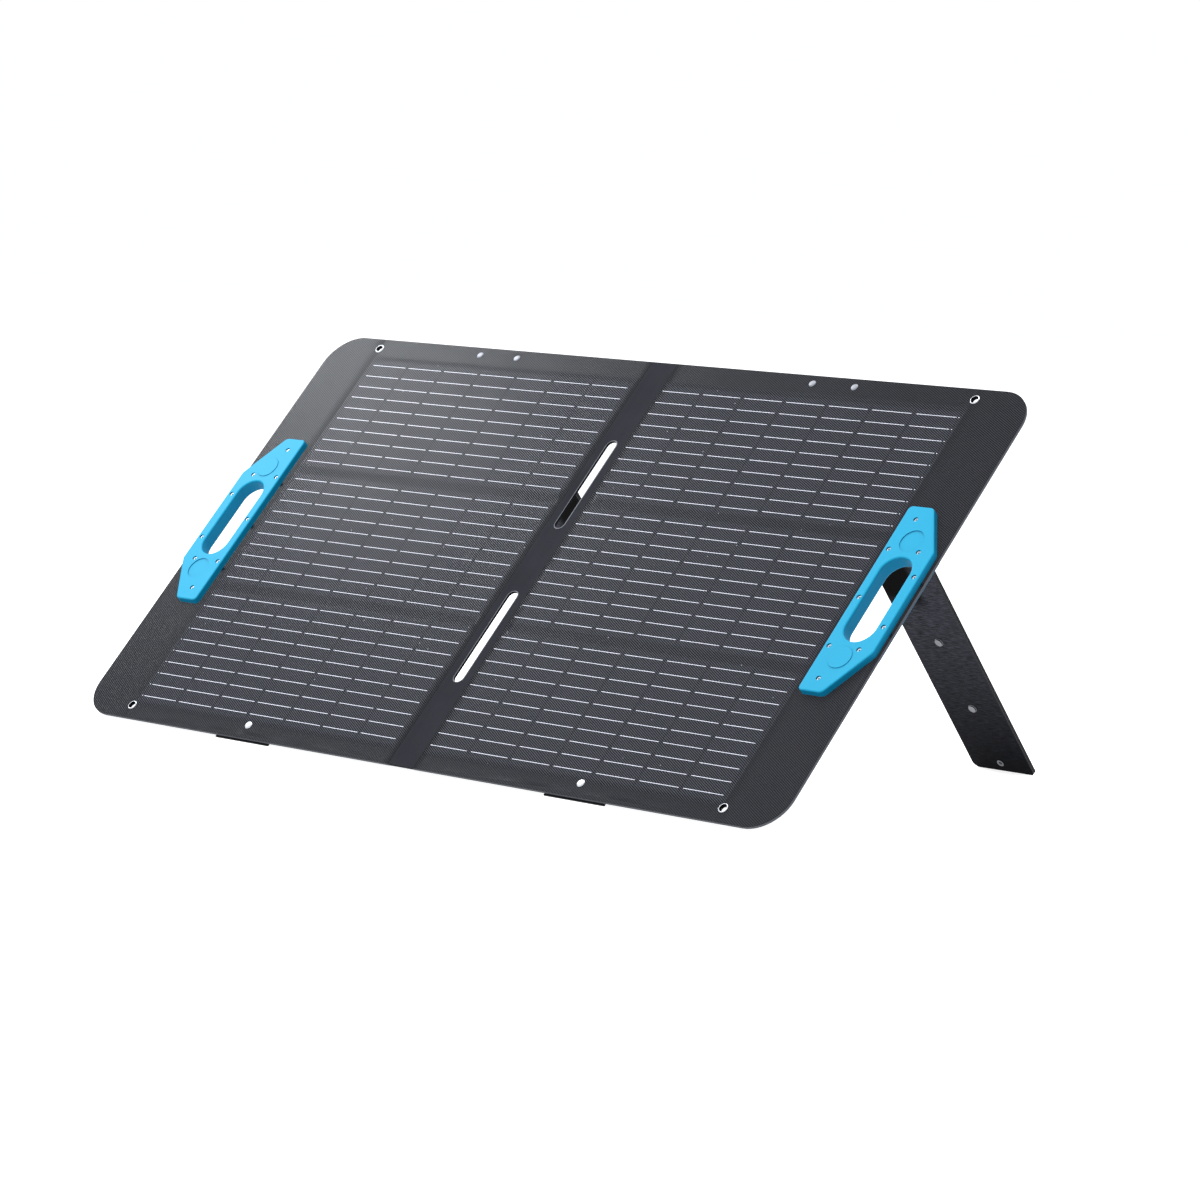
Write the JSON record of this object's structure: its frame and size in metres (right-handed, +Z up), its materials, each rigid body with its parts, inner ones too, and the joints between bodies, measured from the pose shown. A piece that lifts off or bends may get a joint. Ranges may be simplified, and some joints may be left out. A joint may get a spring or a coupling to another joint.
{
  "type": "folding solar panel",
  "caption": "Two-part folding solar panel on two hinged stand legs, with a carrying handle at each outer edge and eyelets in the margins.",
  "frame": {"origin": "centre of the bounding box on the ground: on the fold line in x, midway between the front edge and the feet in y", "axes": "+X to the right along the long side, seen from the front; +Y to the back, away from the sun side; +Z up"},
  "size_m": [1.16, 0.7824, 0.4846],
  "materials": {
    "film": "fine twill embossing, satin",
    "encapsulant": "smooth satin",
    "core_board": "smooth laminate",
    "cell": "smooth dark silicon",
    "busbar": "tinned ribbon, satin",
    "eyelet_metal": "rolled, bright satin",
    "rivet_metal": "bright satin",
    "snap_metal": "satin grey",
    "black_plastic": "fine grain",
    "black_cloth": "woven, matt",
    "fold_cloth": "fine rib along the fold",
    "leg_cloth": "smooth cloth, faint crosswise grain",
    "webbing": "flat woven webbing",
    "blue_plastic": "moulded, satin",
    "screw_steel": "turned",
    "magnet": "plated",
    "box_plastic": "spark-eroded grain",
    "seal_rubber": "matt",
    "terminal_plastic": "moulded",
    "diode_black": "moulded epoxy"
  },
  "bodies": {
    "left_panel": {"cable_gland": "box_plastic", "cable_gland_nut": "box_plastic", "fold_jumper_ribbons": "busbar", "fold_strip_back": "black_cloth", "fold_strip_front": "fold_cloth", "junction_box_base": "box_plastic", "junction_box_diodes": "diode_black", "junction_box_gasket": "seal_rubber", "junction_box_lid": "box_plastic", "junction_box_screws": "screw_steel", "junction_box_terminal_block": "terminal_plastic", "left_angle_strap": "webbing", "left_back_skin": "black_cloth", "left_bottom_snap": "rivet_metal", "left_bottom_tab": "black_plastic", "left_busbar_ribbons": "busbar", "left_cells": "cell", "left_core_board": "core_board", "left_cross_connectors": "busbar", "left_encapsulant": "encapsulant", "left_eyelets": "eyelet_metal", "left_front_film": "film", "left_handle_front_shell": "blue_plastic", "left_handle_magnets": "magnet", "left_handle_rear_shell": "blue_plastic", "left_handle_screws": "screw_steel", "left_leg_hinge_cloth": "black_cloth", "left_leg_mount": "black_plastic", "left_strap_anchor": "rivet_metal", "left_top_rivets": "rivet_metal"},
    "right_panel": {"right_angle_strap": "webbing", "right_back_skin": "black_cloth", "right_bottom_snap": "rivet_metal", "right_bottom_tab": "black_plastic", "right_busbar_ribbons": "busbar", "right_cells": "cell", "right_core_board": "core_board", "right_cross_connectors": "busbar", "right_encapsulant": "encapsulant", "right_eyelets": "eyelet_metal", "right_front_film": "film", "right_handle_front_shell": "blue_plastic", "right_handle_magnets": "magnet", "right_handle_rear_shell": "blue_plastic", "right_handle_screws": "screw_steel", "right_leg_hinge_cloth": "black_cloth", "right_leg_mount": "black_plastic", "right_strap_anchor": "rivet_metal", "right_top_rivets": "rivet_metal"},
    "left_leg": {"left_leg_core": "core_board", "left_leg_inner_cover": "leg_cloth", "left_leg_outer_cover": "leg_cloth", "left_leg_snaps": "snap_metal", "left_strap_snap": "snap_metal"},
    "right_leg": {"right_leg_core": "core_board", "right_leg_inner_cover": "leg_cloth", "right_leg_outer_cover": "leg_cloth", "right_leg_snaps": "snap_metal", "right_strap_snap": "snap_metal"}
  },
  "joints": [
    {"name": "panel_fold", "type": "hinge", "parent": "left_panel", "child": "right_panel", "pos_m": [0, -0.39761, 0.01097], "axis": [0, -0.6521, -0.7581], "range_deg": [0, 180], "deforming": ["fold_strip_front", "fold_strip_back", "fold_jumper_ribbons"]},
    {"name": "left_leg_fold", "type": "hinge", "parent": "left_panel", "child": "left_leg", "pos_m": [0, -0.00504, 0.44361], "axis": [-1, 0, 0], "range_deg": [0, 82.17], "deforming": ["left_leg_hinge_cloth", "left_angle_strap"]},
    {"name": "right_leg_fold", "type": "hinge", "parent": "right_panel", "child": "right_leg", "pos_m": [0, -0.00504, 0.44361], "axis": [-1, 0, 0], "range_deg": [0, 82.17], "deforming": ["right_leg_hinge_cloth", "right_angle_strap"]}
  ]
}
